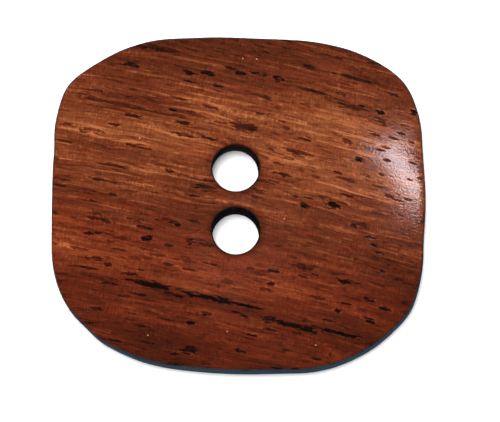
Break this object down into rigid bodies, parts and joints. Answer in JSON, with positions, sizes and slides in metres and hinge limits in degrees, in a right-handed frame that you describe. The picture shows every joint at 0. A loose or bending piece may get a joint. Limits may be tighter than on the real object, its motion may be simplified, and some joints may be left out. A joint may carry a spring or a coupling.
{
  "type": "sew-on button",
  "caption": "Rounded-square hardwood sew-on button with a shallow domed face, a flat back, eased rims and thread holes drilled straight through.",
  "frame": {"origin": "centre of the flat back, where the button rests on the cloth", "axes": "+X along the wider side, +Y along the line through the two thread holes, +Z out of the domed face, away from the cloth"},
  "size_m": [0.0254, 0.023, 0.004],
  "materials": {
    "lacquered_hardwood": "clear lacquer, polished to a satin gloss"
  },
  "bodies": {
    "root": {"wooden_button": "lacquered_hardwood"}
  },
  "joints": []
}
